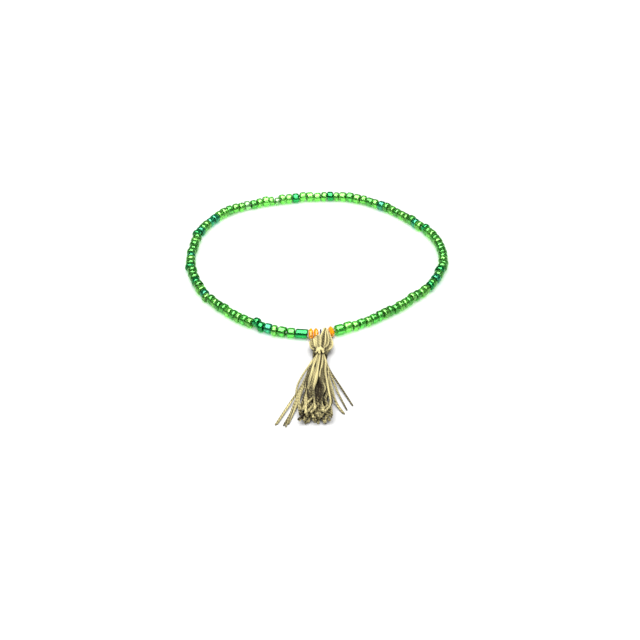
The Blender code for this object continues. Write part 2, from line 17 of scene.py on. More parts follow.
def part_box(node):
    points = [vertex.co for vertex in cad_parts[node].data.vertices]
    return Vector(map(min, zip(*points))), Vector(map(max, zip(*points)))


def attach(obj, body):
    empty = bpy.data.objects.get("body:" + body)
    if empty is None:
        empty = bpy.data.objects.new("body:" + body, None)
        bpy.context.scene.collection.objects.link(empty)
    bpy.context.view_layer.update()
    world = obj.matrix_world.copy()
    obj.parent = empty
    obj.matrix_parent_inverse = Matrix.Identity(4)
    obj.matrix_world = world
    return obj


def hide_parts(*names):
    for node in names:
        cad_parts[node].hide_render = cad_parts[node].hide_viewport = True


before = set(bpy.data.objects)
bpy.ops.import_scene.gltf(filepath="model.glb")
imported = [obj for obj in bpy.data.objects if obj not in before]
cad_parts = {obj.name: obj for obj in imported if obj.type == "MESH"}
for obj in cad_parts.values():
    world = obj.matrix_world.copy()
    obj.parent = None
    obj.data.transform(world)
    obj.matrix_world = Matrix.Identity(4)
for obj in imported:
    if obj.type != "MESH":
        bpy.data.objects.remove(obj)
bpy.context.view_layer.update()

# %% [markdown]
# ## Sizes
#
# A seed bead is sold by number: number eight is 3 mm across. Every other size is read against
# it. All lengths are in metres, so each is written in millimetres times one unit.

# %% Sizes of the string and of its findings
MM = 0.001

BEAD_DIAMETER = 3.0 * MM
BEAD_LENGTH = 2.15 * MM
HOLE_DIAMETER = 0.9 * MM
ELASTIC_DIAMETER = 0.5 * MM

AMBER_DIAMETER = 3.3 * MM
AMBER_LENGTH = 1.35 * MM
AMBER_SIDES = 8
BEAD_GAP = 0.15 * MM
BEAD_GAP_RIGHT = 0.45 * MM

RING_OUTER = 3.2 * MM
RING_WIRE = 0.45 * MM
RING_SPACE = 0.25 * MM
ROOM_LEFT = 0.65 * MM
ROOM_RIGHT = 2.4 * MM

# %% [markdown]
# ## The line that the string lies on
#
# Beads on elastic never lie in a true circle. A few points, taken round the loop, carry a
# smooth Catmull-Rom curve. The string is then read by the distance along it, as a beader
# would lay a tape along the anklet. The jump ring's box says where the line belongs.

# %% The route of the string
STRING_ROUTE = (
    (0.9, -39.0), (10.4, -35.1), (18.3, -29.9), (25.3, -24.0), (31.5, -17.1), (36.4, -8.7),
    (38.6, 1.0), (37.1, 11.0), (32.2, 19.8), (25.9, 27.3), (18.3, 33.7), (9.0, 37.7),
    (-1.0, 38.0), (-10.7, 36.2), (-20.5, 33.4), (-29.6, 28.1), (-35.7, 19.4), (-38.3, 9.2),
    (-38.6, -1.0), (-36.9, -10.9), (-32.7, -20.0), (-26.3, -27.7), (-18.5, -34.1), (-9.2, -38.3),
)

CURVE_STEPS = 24
STRING_HEIGHT = 1.575 * MM
RING_FORWARD = RING_OUTER / 2 - RING_WIRE - ELASTIC_DIAMETER / 2 - RING_SPACE
ring_low, ring_high = (Vector(corner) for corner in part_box("jump_ring"))
RING_CENTRE = (ring_low + ring_high) / 2
HOME = RING_CENTRE + Vector((0, RING_FORWARD, 0)) - Vector((*STRING_ROUTE[0], 0)) * MM
HOME.z = 0.0


def spline(points, closed, steps):
    """A smooth curve through the points, with as many steps in each span."""
    count = len(points)
    curve = []
    for span in range(count if closed else count - 1):
        if closed:
            p0, p1, p2, p3 = [points[(span + k) % count] for k in (-1, 0, 1, 2)]
        else:
            p0, p1, p2, p3 = [points[min(max(span + k, 0), count - 1)] for k in (-1, 0, 1, 2)]
        for step in range(steps):
            t = step / steps
            curve.append(0.5 * (2 * p1 + (p2 - p0) * t + (2 * p0 - 5 * p1 + 4 * p2 - p3) * t ** 2
                                + (3 * p1 - p0 - 3 * p2 + p3) * t ** 3))
    if not closed:
        curve.append(points[-1].copy())
    return curve


class Route:
    """The string's middle line, read by the distance along it from the jump ring."""

    def __init__(self, points):
        self.curve = spline([HOME + Vector((x, y, 0)) * MM for x, y in points], True,
                            CURVE_STEPS)
        self.curve.append(self.curve[0].copy())
        self.reach = [0.0]
        for a, b in zip(self.curve, self.curve[1:]):
            self.reach.append(self.reach[-1] + (b - a).length)
        self.length = self.reach[-1]

    def point(self, distance, height=0.0):
        distance %= self.length
        low = 0
        high = len(self.reach) - 1
        while high - low > 1:
            middle = (low + high) // 2
            if self.reach[middle] <= distance:
                low = middle
            else:
                high = middle
        share = (distance - self.reach[low]) / (self.reach[high] - self.reach[low])
        return self.curve[low].lerp(self.curve[high], share) + Vector((0, 0, height))

    def direction(self, distance):
        ahead = self.point(distance + BEAD_LENGTH / 4)
        behind = self.point(distance - BEAD_LENGTH / 4)
        return (ahead - behind).normalized()

    def outward(self, distance):
        return self.direction(distance).cross(Vector((0, 0, 1)))


route = Route(STRING_ROUTE)
print(f"string {route.length / MM:.1f} mm round, home at {[round(v / MM, 3) for v in HOME]}")

# %% [markdown]
# ## Colours and shader nodes
#
# A colour picked on a screen is an sRGB hex value, while a shader wants linear light. One
# function turns one into the other. A second one adds a node with its settings and its links,
# so that each material below reads as a list.

# %% Helpers for materials


def linear(hex_colour):
    """The linear light of an sRGB hex value."""
    values = [int(hex_colour[i:i + 2], 16) / 255 for i in (1, 3, 5)]
    return [v / 12.92 if v <= 0.04045 else ((v + 0.055) / 1.055) ** 2.4 for v in values]


def new_material(name):
    """A new material and its Principled shader."""
    material = bpy.data.materials.new(name)
    material.use_nodes = True
    return material, material.node_tree.nodes["Principled BSDF"]


def add_node(material, kind, settings=None, links=None, **values):
    """Adds a node: settings are its properties, values its sockets, links its wired sockets."""
    node = material.node_tree.nodes.new(kind)
    for key, value in (settings or {}).items():
        setattr(node, key, value)
    for key, value in values.items():
        node.inputs[key.replace("_", " ")].default_value = value
    for key, source in (links or {}).items():
        material.node_tree.links.new(source, node.inputs[key])
    return node


def wire(material, source, target):
    material.node_tree.links.new(source, target)


def finish_piece(name, bm, material, sharp_above=60):
    """Turns the mesh work into a piece that rides on the part."""
    bmesh.ops.recalc_face_normals(bm, faces=bm.faces)
    mesh = bpy.data.meshes.new(name)
    bm.to_mesh(mesh)
    bm.free()
    mesh.materials.append(material)
    mesh.shade_smooth()
    mesh.set_sharp_from_angle(angle=math.radians(sharp_above))
    mesh.calc_loop_triangles()
    piece = bpy.data.objects.new(name, mesh)
    bpy.context.scene.collection.objects.link(piece)
    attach(piece, "root")
    print(f"{name}: {len(mesh.vertices)} points, {len(mesh.loop_triangles)} triangles")
    return piece


# %% [markdown]
# ## Drawing a tube along a path
#
# Elastic and thread are both a round section drawn along a line. One ring of points is
# extruded from place to place. Each point also keeps where it is on the thread: its angle
# round it and its distance along it, for the twist of the plies in the cotton's material.

# %% Tube helper


def section(centre, direction, radius, roll=0.0):
    """The place of a round section square to a direction, with its second axis upright."""
    side = Vector((0, 0, 1)).cross(direction)
    if side.length < 1e-6:
        side = Vector((1, 0, 0))
    side.normalize()
    upright = direction.cross(side)
    turn = Matrix((side, upright, direction)).transposed().to_4x4()
    size = Matrix.Diagonal((radius, radius, 1, 1))
    return Matrix.Translation(centre) @ turn @ size @ Matrix.Rotation(roll, 4, "Z")


def ring_edges(ring):
    """The edges that join a ring's points to one another."""
    around = set(ring)
    return list({edge for vert in ring for edge in vert.link_edges
                 if edge.other_vert(vert) in around})


def blend(values, steps):
    """The values at the chosen points, with even steps between them."""
    blended = []
    for low, high in zip(values, values[1:]):
        blended += [low + (high - low) * step / steps for step in range(steps)]
    return blended + values[-1:]


def tube(points, radii, sides, shades=None):
    """A capped tube through the points, marked with angle, distance and the thread's tone with
    painted shade.
    """
    shades = shades or [0.5] * len(points)
    bm = bmesh.new()
    turn = bm.verts.layers.float_vector.new("thread_turn")
    tone = bm.verts.layers.float.new("thread_tone")
    ring = bmesh.ops.create_circle(bm, cap_ends=False, radius=1, segments=sides)["verts"]
    corners = [vert.co.copy() for vert in ring]
    first = ring
    along = 0.0
    for number, (centre, radius, shade) in enumerate(zip(points, radii, shades)):
        ahead = points[min(number + 1, len(points) - 1)]
        behind = points[max(number - 1, 0)]
        place = section(centre, (ahead - behind).normalized(), radius)
        if number:
            along += (centre - points[number - 1]).length / MM
            grown = set(bmesh.ops.extrude_edge_only(bm, edges=ring_edges(ring))["geom"])
            ring = [next(edge.other_vert(vert) for edge in vert.link_edges
                         if edge.other_vert(vert) in grown) for vert in ring]
        for vert, corner in zip(ring, corners):
            vert.co = place @ corner
            vert[turn] = (corner.x, corner.y, along)
            vert[tone] = shade
    bmesh.ops.contextual_create(bm, geom=ring_edges(first))
    bmesh.ops.contextual_create(bm, geom=ring_edges(ring))
    return bm


def add_to(whole, piece):
    """Adds one mesh to another and lets the first go."""
    spare = bpy.data.meshes.new("spare")
    piece.to_mesh(spare)
    piece.free()
    whole.from_mesh(spare)
    bpy.data.meshes.remove(spare)


# %% [markdown]
# ## The green beads: their sizes
#
# Seed beads are cut from a drawn glass tube and tumbled in heat, so no two are alike. A few
# are half as long again, some are thin, and some ride up or out of the line. The same seeded
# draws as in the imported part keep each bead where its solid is. The stand-outs are listed.

# %% Bead sizes
BEAD_SEED = 8
LENGTH_SPREAD = 0.10
LENGTH_LIMITS = (0.78, 1.22)
DIAMETER_LIMITS = (0.93, 1.04)
OUTWARD_MOST = 0.07
UPWARD_MOST = 0.06
SWING_MOST = 7.0

# Columns: share of the way round the string, length and diameter as shares of the usual bead,
# how far outward and upward as shares of its diameter, and its glass
STANDOUT_BEADS = (
    (0.000, 1.30, 1.06, 0.00, 0.00, "leaf"),
    (0.118, 0.80, 0.92, -0.10, 0.16, "lime"),
    (0.161, 0.85, 0.95, 0.12, 0.10, "emerald"),
    (0.306, 0.80, 0.95, 0.22, 0.06, "emerald"),
    (0.398, 0.90, 0.95, -0.08, 0.10, "lime"),
    (0.466, 1.02, 1.02, 0.00, 0.00, "emerald"),
    (0.516, 1.06, 1.02, 0.02, 0.00, "emerald"),
    (0.540, 0.72, 0.85, -0.10, 0.00, "pale"),
    (0.688, 0.85, 0.92, 0.20, 0.10, "emerald"),
    (0.772, 0.80, 0.95, 0.20, 0.04, "emerald"),
    (0.848, 0.85, 0.90, 0.16, 0.00, "lime"),
    (0.938, 1.00, 1.00, 0.02, 0.00, "lime"),
    (0.947, 0.95, 0.95, -0.10, 0.24, "emerald"),
    (0.956, 0.82, 1.02, 0.08, 0.00, "emerald"),
    (0.965, 1.08, 1.00, 0.00, 0.02, "teal"),
    (0.974, 0.82, 1.08, 0.10, 0.00, "lime"),
    (0.982, 1.18, 1.03, 0.02, 0.00, "leaf"),
    (0.991, 1.14, 1.00, -0.02, 0.00, "leaf"),
    (1.000, 1.66, 0.92, 0.00, 0.00, "emerald"),
)

# Columns: share of the way round, then how often each glass comes up there
GLASS_MIX = (
    (0.00, {"lime": 5, "leaf": 6, "emerald": 1}),
    (0.14, {"lime": 3, "leaf": 6, "emerald": 1, "teal": 2}),
    (0.33, {"lime": 4, "leaf": 5, "teal": 1}),
    (0.42, {"lime": 6, "leaf": 3, "pale": 1}),
    (0.62, {"lime": 3, "leaf": 6, "teal": 1}),
    (0.72, {"lime": 3, "leaf": 6, "teal": 2, "emerald": 1}),
    (0.90, {"lime": 3, "leaf": 5, "emerald": 1}),
)

AMBER_LEFT_1 = -(ROOM_LEFT + AMBER_LENGTH / 2)
AMBER_LEFT_2 = AMBER_LEFT_1 - BEAD_GAP - AMBER_LENGTH
AMBER_RIGHT = ROOM_RIGHT + AMBER_LENGTH / 2
GREEN_START = AMBER_RIGHT + AMBER_LENGTH / 2 + BEAD_GAP_RIGHT
GREEN_END = route.length + AMBER_LEFT_2 - AMBER_LENGTH / 2 - BEAD_GAP


def bead_chart():
    """Every green bead as (distance, length, diameter, outward, upward, swing, glass)."""
    dice = random.Random(BEAD_SEED)
    glass_dice = random.Random(BEAD_SEED + 1)
    run = GREEN_END - GREEN_START
    count = round(run / BEAD_LENGTH)
    beads = []
    for number in range(count):
        length = min(max(dice.gauss(1.0, LENGTH_SPREAD), LENGTH_LIMITS[0]), LENGTH_LIMITS[1])
        diameter = dice.uniform(*DIAMETER_LIMITS)
        outward = dice.uniform(-OUTWARD_MOST, OUTWARD_MOST)
        upward = max(0.0, dice.uniform(-UPWARD_MOST, UPWARD_MOST))
        swing = dice.uniform(-SWING_MOST, SWING_MOST)
        share = number / (count - 1)
        mix = [row for row in GLASS_MIX if row[0] <= share][-1][1]
        glass = glass_dice.choices(list(mix), list(mix.values()))[0]
        beads.append([length, diameter, outward, upward, swing, glass])
    for share, length, diameter, outward, upward, glass in STANDOUT_BEADS:
        bead = beads[round(share * (count - 1))]
        bead[:4] = length, diameter, outward, upward
        bead[5] = glass
    for end in (beads[0], beads[-1]):
        end[4] = 0.0
    fit = run / sum(bead[0] for bead in beads)
    chart = []
    distance = GREEN_START
    for number, (length, diameter, outward, upward, swing, glass) in enumerate(beads):
        radius = diameter * BEAD_DIAMETER / 2
        height = STRING_HEIGHT if number in (0, count - 1) else radius + upward * BEAD_DIAMETER
        chart.append((distance + length * fit / 2, length * fit, radius, outward * BEAD_DIAMETER,
                      height, math.radians(swing), glass))
        distance += length * fit
    return chart


beads = bead_chart()
print(f"{len(beads)} green beads")

# %% [markdown]
# ## The green beads: their shape
#
# Spinning one closed outline about the hole makes a drilled bead in one go. The outline is a
# straight hole, a flat end face, a well-rounded shoulder and a straight barrel. Cut ends are
# rarely square, so each bead is sheared a little before it takes its place on the string.

# %% Model the green beads
BEAD_STEPS = 24
SHOULDER_STEPS = 4
SHOULDER = 0.62 * MM
SHOULDER_MOST = 0.65
END_FACE = 0.50
TUBE_LENGTH = 1.4 * BEAD_LENGTH
TUBE_SHOULDER = 0.4 * MM
TUBE_END_FACE = 0.78
HOLE_EDGE = 0.1 * MM
BARREL_EDGE = 0.08 * MM
END_SLANT = 0.12
HALF_SPACE = 0.04 * MM
# Painted shade: each bead's colour darkens towards its ends, over this share of its half length,
# and on the wall of its hole. The first bead's open end is not shaded.
END_DEPTH = 0.28
BEAD_END_PAINTED_SHADE = 0.12
OPEN_END_PAINTED_SHADE = 1.0
HOLE_PAINTED_SHADE = 0.5

GLASS = {"lime": "#88E46C", "leaf": "#68D060", "emerald": "#10B25C", "teal": "#3CC08E",
         "pale": "#A8E89C"}
# How much darker or lighter than its glass a bead may be
GLASS_SPREAD = (0.84, 1.13)
# What lies nearer the middle than this share of the hole's radius is the hole's wall
HOLE_REACH = 1.3


def drilled_bead(length, radius):
    """A bead about the X axis: its outline spun round the hole."""
    bm = bmesh.new()
    half = length / 2 - HALF_SPACE
    long_tube = length > TUBE_LENGTH
    shoulder = TUBE_SHOULDER if long_tube else min(SHOULDER, half * SHOULDER_MOST)
    face = radius * (TUBE_END_FACE if long_tube else END_FACE)
    hole = HOLE_DIAMETER / 2
    outline = [(half - HOLE_EDGE, hole), (half, hole + HOLE_EDGE)]
    for number in range(SHOULDER_STEPS, -1, -1):
        angle = math.pi / 2 * number / SHOULDER_STEPS
        outline.append((half - shoulder * (1 - math.sin(angle)),
                        face + (radius - face) * math.cos(angle)))
    outline.append((half - shoulder - BARREL_EDGE, radius))
    outline += [(-x, z) for x, z in reversed(outline)]
    verts = [bm.verts.new((x, 0, z)) for x, z in outline]
    edges = [bm.edges.new(pair) for pair in zip(verts, verts[1:] + verts[:1])]
    bmesh.ops.spin(bm, geom=verts + edges, cent=(0, 0, 0), axis=(1, 0, 0), angle=math.tau,
                   steps=BEAD_STEPS, use_merge=True)
    return bm


def model_beads():
    """Every bead in its place, with painted shade on its colour at its ends and in its hole."""
    dice = random.Random(BEAD_SEED + 2)
    whole = bmesh.new()
    tint = whole.verts.layers.float_color.new("bead_colour")
    for number, (distance, length, radius, outward, height, swing, glass) in enumerate(beads):
        bead = drilled_bead(length, radius)
        end_painted_shade = OPEN_END_PAINTED_SHADE if number == 0 else BEAD_END_PAINTED_SHADE
        colour = bead.verts.layers.float_color.new("bead_colour")
        lighter = dice.uniform(*GLASS_SPREAD)
        shade = [min(1.0, value * lighter) for value in linear(GLASS[glass])]
        for vert in bead.verts:
            # Painted shade: darker towards the bead's ends and on the wall of its hole
            off_end = min(1.0, (1 - abs(vert.co.x) / (length / 2)) / END_DEPTH)
            in_hole = math.hypot(vert.co.y, vert.co.z) < HOLE_DIAMETER / 2 * HOLE_REACH
            depth = end_painted_shade + (1 - end_painted_shade) * off_end
            if in_hole:
                depth *= HOLE_PAINTED_SHADE
            vert[colour] = (*(min(1.0, value * depth) for value in shade), 1.0)
        slant = Matrix.Identity(4)
        slant[0][1] = dice.uniform(-END_SLANT, END_SLANT)
        slant[0][2] = dice.uniform(-END_SLANT, END_SLANT)
        along = route.direction(distance)
        heading = Matrix.Rotation(math.atan2(along.y, along.x) + swing, 4, "Z")
        roll = Matrix.Rotation(dice.uniform(0, math.tau), 4, "X")
        centre = route.point(distance, height) + outward * route.outward(distance)
        place = Matrix.Translation(centre) @ heading @ slant @ roll
        bmesh.ops.transform(bead, verts=bead.verts, matrix=place)
        add_to(whole, bead)
    return whole


# %% [markdown]
# ## Lustred green glass
#
# The glass is coloured through, clear, and finished with a thin metal lustre that makes the
# lights on it broad, bright and tinted. Principled with high transmission gives the tint at
# each wall that the light passes, and a small share of metal gives the lustre. The colour
# comes from each bead's own attribute, which holds its glass colour with painted shade at its
# ends and in its hole. A faint bump stands for the soft unevenness of tumbled glass, about a
# millimetre across.

# %% Green glass
green_glass, shader = new_material("green_seed_bead_glass")
tint = add_node(green_glass, "ShaderNodeAttribute", {"attribute_name": "bead_colour"})
wire(green_glass, tint.outputs["Color"], shader.inputs["Base Color"])
shader.inputs["Transmission Weight"].default_value = 0.9
shader.inputs["Metallic"].default_value = 0.32
shader.inputs["Roughness"].default_value = 0.13
shader.inputs["IOR"].default_value = 1.52
shader.inputs["Specular IOR Level"].default_value = 1.0
shader.inputs["Specular Tint"].default_value = (*linear("#D8FFC0"), 1)
place = add_node(green_glass, "ShaderNodeTexCoord")
uneven = add_node(green_glass, "ShaderNodeTexNoise", links={"Vector": place.outputs["Object"]},
                  Scale=1 / (1.2 * MM), Detail=2.0)
bump = add_node(green_glass, "ShaderNodeBump", links={"Height": uneven.outputs["Fac"]},
                Strength=0.12, Distance=0.08 * MM)
wire(green_glass, bump.outputs["Normal"], shader.inputs["Normal"])

# %% [markdown]
# ## Light through the glass
#
# On a table, the light that has gone through green glass leaves a pale green glow beside each
# bead. Tracing that light is slow, so for the rays that look for shadows alone the glass is a
# thin tinted film. The shadow then takes the colour of the bead, and the bead keeps its look.

# %% Tinted shadow
FILM_TINT = 0.5
film = add_node(green_glass, "ShaderNodeMix", {"data_type": "RGBA"}, {"B": tint.outputs["Color"]})
film.inputs["Factor"].default_value = FILM_TINT
film.inputs["A"].default_value = (1, 1, 1, 1)
clear = add_node(green_glass, "ShaderNodeBsdfTransparent", links={"Color": film.outputs["Result"]})
ray = add_node(green_glass, "ShaderNodeLightPath")
glass = add_node(green_glass, "ShaderNodeMixShader", links={
    "Fac": ray.outputs["Is Shadow Ray"], 1: shader.outputs["BSDF"], 2: clear.outputs["BSDF"]})
output = green_glass.node_tree.nodes["Material Output"]
wire(green_glass, glass.outputs["Shader"], output.inputs["Surface"])

green_beads = finish_piece("green_beads", model_beads(), green_glass)
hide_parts("bead_string")

# %% [markdown]
# ## Clear elastic
#
# A stretch cord of clear polyurethane runs through every hole and shows bare at the front.
# One closed tube follows the whole line at the height of the holes.

# %% Model the elastic
ELASTIC_STEP = 1.5 * MM
ELASTIC_SIDES = 8


def model_elastic():
    """A closed tube from hole to hole, level where it shows at the front."""
    holes = [(-GREEN_START, STRING_HEIGHT)]
    holes += [(distance, height) for distance, _, _, _, height, _, _ in beads]
    points = [route.point(distance, height) for distance, height in holes]
    count = round(route.length / ELASTIC_STEP)
    curve = spline(points, True, max(1, count // len(points)))
    curve.append(curve[0].copy())
    return tube(curve, [ELASTIC_DIAMETER / 2] * len(curve), ELASTIC_SIDES)


# %% [markdown]
# ## Clear polyurethane
#
# The cord is clear but not polished. A soft noise makes it a little rougher in some places than
# in others, which breaks up the lights along it.

# %% Clear elastic
clear_elastic, shader = new_material("clear_polyurethane_elastic")
shader.inputs["Base Color"].default_value = (*linear("#F2F4F2"), 1)
shader.inputs["Transmission Weight"].default_value = 0.7
shader.inputs["IOR"].default_value = 1.49
place = add_node(clear_elastic, "ShaderNodeTexCoord")
haze = add_node(clear_elastic, "ShaderNodeTexNoise", links={"Vector": place.outputs["Object"]},
                Scale=1 / (0.8 * MM), Detail=2.0)
spread = add_node(clear_elastic, "ShaderNodeMapRange", links={"Value": haze.outputs["Fac"]},
                  To_Min=0.15, To_Max=0.32)
wire(clear_elastic, spread.outputs["Result"], shader.inputs["Roughness"])

elastic = finish_piece("stretch_elastic", model_elastic(), clear_elastic)
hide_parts("elastic_cord")

# %% [markdown]
# ## Faceted amber beads
#
# These are machine-cut rondelles: a flat table at each end, a row of slanting facets up to a
# narrow girdle, and the same again on the other side. Rings of eight corners, every second one
# turned by half a step, give the facets their kite shapes. Their edges stay sharp, so each
# facet catches the light by itself, as polished glass does.

# %% Model the amber beads
AMBER_TABLE = 0.62
AMBER_HOLE = 0.9 * MM
GIRDLE = 0.26
WAIST_PLACE = 0.62
WAIST = 0.88
FACET_EDGE = 8

# Columns: place along the hole as a share of half the length, radius as a share of the bead's,
# and turn in half steps
AMBER_RINGS = (
    (-1.00, AMBER_TABLE, 0),
    (-WAIST_PLACE, WAIST, 1),
    (-GIRDLE, 1.00, 0),
    (GIRDLE, 1.00, 0),
    (WAIST_PLACE, WAIST, 1),
    (1.00, AMBER_TABLE, 0),
)


def faceted_bead():
    """Facets between rings of corners, closed over a round hole."""
    bm = bmesh.new()
    half_step = math.pi / AMBER_SIDES
    hole = AMBER_HOLE / AMBER_DIAMETER
    made = []
    for place, share, turns in ((-1.0, hole, 0), *AMBER_RINGS, (1.0, hole, 0)):
        turn = Matrix.Rotation(turns * half_step, 4, "Z")
        made.append(bmesh.ops.create_circle(
            bm, cap_ends=False, radius=AMBER_DIAMETER / 2 * share, segments=AMBER_SIDES,
            matrix=Matrix.Translation((0, 0, place * AMBER_LENGTH / 2)) @ turn)["verts"])
    for lower, upper in zip(made, made[1:] + made[:1]):
        bmesh.ops.bridge_loops(bm, edges=ring_edges(lower) + ring_edges(upper))
    bmesh.ops.triangulate(bm, faces=[face for face in bm.faces if len(face.verts) > 4])
    return bm


# %% [markdown]
# ## Amber glass
#
# Two warm tones, one a little deeper, meet in soft clouds, so that the facets don't all show
# the same colour. The glass is clear enough for the white paper to shine through it.

# %% Amber glass
amber_glass, shader = new_material("amber_cut_glass")
place = add_node(amber_glass, "ShaderNodeTexCoord")
cloud = add_node(amber_glass, "ShaderNodeTexNoise", links={"Vector": place.outputs["Object"]},
                 Scale=1 / (1.6 * MM), Detail=2.0)
amber_tone = add_node(amber_glass, "ShaderNodeMix", {"data_type": "RGBA"},
                      {"Factor": cloud.outputs["Fac"]})
amber_tone.inputs["A"].default_value = (*linear("#FFBA24"), 1)
amber_tone.inputs["B"].default_value = (*linear("#FFA60C"), 1)
wire(amber_glass, amber_tone.outputs["Result"], shader.inputs["Base Color"])
shader.inputs["Transmission Weight"].default_value = 0.6
shader.inputs["Roughness"].default_value = 0.05
shader.inputs["IOR"].default_value = 1.55

for number, distance in enumerate((AMBER_LEFT_2, AMBER_LEFT_1, AMBER_RIGHT), start=1):
    bm = faceted_bead()
    place = section(route.point(distance, STRING_HEIGHT), route.direction(distance), 1,
                    roll=math.pi / AMBER_SIDES)
    bmesh.ops.transform(bm, verts=bm.verts, matrix=place)
    piece = finish_piece(f"amber_{number}", bm, amber_glass,
                         sharp_above=FACET_EDGE)
    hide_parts(f"amber_bead_{number}")

# %% [markdown]
# ## The jump ring
#
# A jump ring is round wire wound on a rod and sawn into rings, so it has one butt joint. The
# wire's section is spun just short of a full turn, and the two cut ends are capped. The joint
# lies low at the back, where a maker turns it so that no thread can catch.

# %% Model the jump ring
JOINT_ANGLE = math.radians(3.0)
JOINT_PLACE = math.radians(-140)
WIRE_SIDES = 12
RING_STEPS = 48


def model_ring():
    """The wire's section spun about the ring's middle, with both cut ends capped."""
    bm = bmesh.new()
    middle = (RING_OUTER - RING_WIRE) / 2
    verts = bmesh.ops.create_circle(bm, cap_ends=False, radius=RING_WIRE / 2, segments=WIRE_SIDES,
                                    matrix=Matrix.Translation((0, middle, 0)))["verts"]
    made = bmesh.ops.spin(bm, geom=verts + ring_edges(verts), cent=(0, 0, 0), axis=(1, 0, 0),
                          angle=math.tau - JOINT_ANGLE, steps=RING_STEPS, use_merge=False)
    last = [thing for thing in made["geom_last"] if isinstance(thing, bmesh.types.BMVert)]
    for end in (verts, last):
        bmesh.ops.contextual_create(bm, geom=ring_edges(end))
    turn = Matrix.Rotation(JOINT_PLACE, 4, "X")
    bmesh.ops.transform(bm, verts=bm.verts, matrix=Matrix.Translation(RING_CENTRE) @ turn)
    return bm


# %% [markdown]
# ## Plated wire
#
# A ring this small mirrors mostly what is dark round it. Its silver is given a dark grey base
# colour, painted shade for those dark reflections. Fine scuffs make it duller in places.

# %% Plated wire
plated_wire, shader = new_material("silver_plated_brass_wire")
place = add_node(plated_wire, "ShaderNodeTexCoord")
scuffs = add_node(plated_wire, "ShaderNodeTexNoise", links={"Vector": place.outputs["Object"]},
                  Scale=1 / (0.3 * MM), Detail=4.0)
dull = add_node(plated_wire, "ShaderNodeMapRange", links={"Value": scuffs.outputs["Fac"]},
                To_Min=0.14, To_Max=0.34)
wire(plated_wire, dull.outputs["Result"], shader.inputs["Roughness"])
# Painted shade: a dark grey base colour stands in for the dark reflections
shader.inputs["Base Color"].default_value = (*linear("#3A3848"), 1)
shader.inputs["Metallic"].default_value = 1.0

jump_ring = finish_piece("plated_ring", model_ring(), plated_wire)
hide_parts("jump_ring")

# %% [markdown]
# ## The tassel: its form
#
# A tassel is a hank of floss folded over, bound below the fold and cut level. Each thread here
# runs from its cut end up through the binding, over the head, through the ring and down the
# other side. The bundle is described by its sections, and each thread keeps its own place in
# them: sunflower spacing fills a disc evenly, as threads pack under a binding.

# %% Tassel sizes
HEAD_LENGTH = 10.5 * MM
HEAD_WIDTH = 7.7 * MM
HEAD_HEIGHT = 4.8 * MM
HEAD_SIDE = 0.2 * MM
BELLY_PLACE = 0.46
NECK_DIAMETER = 3.3 * MM
NECK_SIDE = -0.2 * MM
SKIRT_LENGTH = 27.3 * MM
SKIRT_WIDTH = 9.9 * MM
SKIRT_HEIGHT = 5.4 * MM
SKIRT_SIDE = -1.4 * MM
SKIRT_FLARE = 2.2
SKIRT_SETTLES = 0.22
BINDING_THREAD = 0.5 * MM
BINDING_SPACE = 0.3 * MM

THREAD_DIAMETER = 0.56 * MM
THREAD_SIDES = 6
THREAD_STEPS = 3
THREAD_ENDS = 80
TASSEL_SEED = 11

NECK = RING_CENTRE + Vector((NECK_SIDE, -HEAD_LENGTH, 0))
NECK.z = NECK_DIAMETER / 2 + BINDING_SPACE + BINDING_THREAD


def skirt_section(share):
    """Centre, half width and half height of the skirt at a share of its length from the neck."""
    spread = 1 - (1 - min(share, 1.0)) ** SKIRT_FLARE
    half_width = (NECK_DIAMETER + (SKIRT_WIDTH - NECK_DIAMETER) * spread) / 2
    half_height = (NECK_DIAMETER + (SKIRT_HEIGHT - NECK_DIAMETER) * spread) / 2
    settled = min(1.0, share / SKIRT_SETTLES)
    height = NECK.z + (half_height - NECK.z) * settled
    centre = Vector((NECK.x + SKIRT_SIDE * share, NECK.y - SKIRT_LENGTH * share, height))
    return centre, half_width, half_height


def skirt_point(share, across, upright, radius):
    """A place in the skirt for a thread of a radius, by its place in the unit disc."""
    centre, half_width, half_height = skirt_section(share)
    return centre + Vector(((half_width - radius) * across, 0, (half_height - radius) * upright))


# %% [markdown]
# ## The tassel: its threads
#
# The left half of the threads leaves the ring low and close, while the right half rises in a
# loop over it. Each thread bends a little on its way down, and its cut end falls a little
# short or long of its neighbours'.

# %% Threads of the head and skirt
# The places where the threads turn, from the ring's middle. The left half of them is -1, the
# right half 1.
FOLD = RING_CENTRE + Vector((0, -0.68 * MM, 0.02 * MM))
BASE = {-1: RING_CENTRE + Vector((-0.35, -1.05, 0.1)) * MM,
        1: RING_CENTRE + Vector((0.9, -0.45, 0.95)) * MM}
CROWN = {-1: RING_CENTRE + Vector((-1.7, -1.5, 0.5)) * MM,
         1: RING_CENTRE + Vector((1.45, 0.5, 1.5)) * MM}

# How far a thread's place in the bundle moves it there, in millimetres: forward and up at the
# fold, all three ways at the base, and up at the crown
FOLD_SPREAD = (0.12, 0.3)
BASE_SPREAD = (0.3, 0.25, 0.35)
CROWN_RISE = 0.6
# How far the crowns of each half fan out sideways, forward and down, in millimetres
CROWN_SPREAD = {-1: (2.5, 2.7, 0.5), 1: (0.8, 0.3, 0.0)}

# The head: how its threads bulge and lean, the narrower belly above the neck, and the neck
BULGE_LEAST = 0.86
HEAD_LEAN = 0.5 * MM
LOW_BELLY_PLACE = 0.5
LOW_BELLY_WIDTH = 0.86
NECK_RUN = 1.4 * MM
NECK_INSET = 0.6

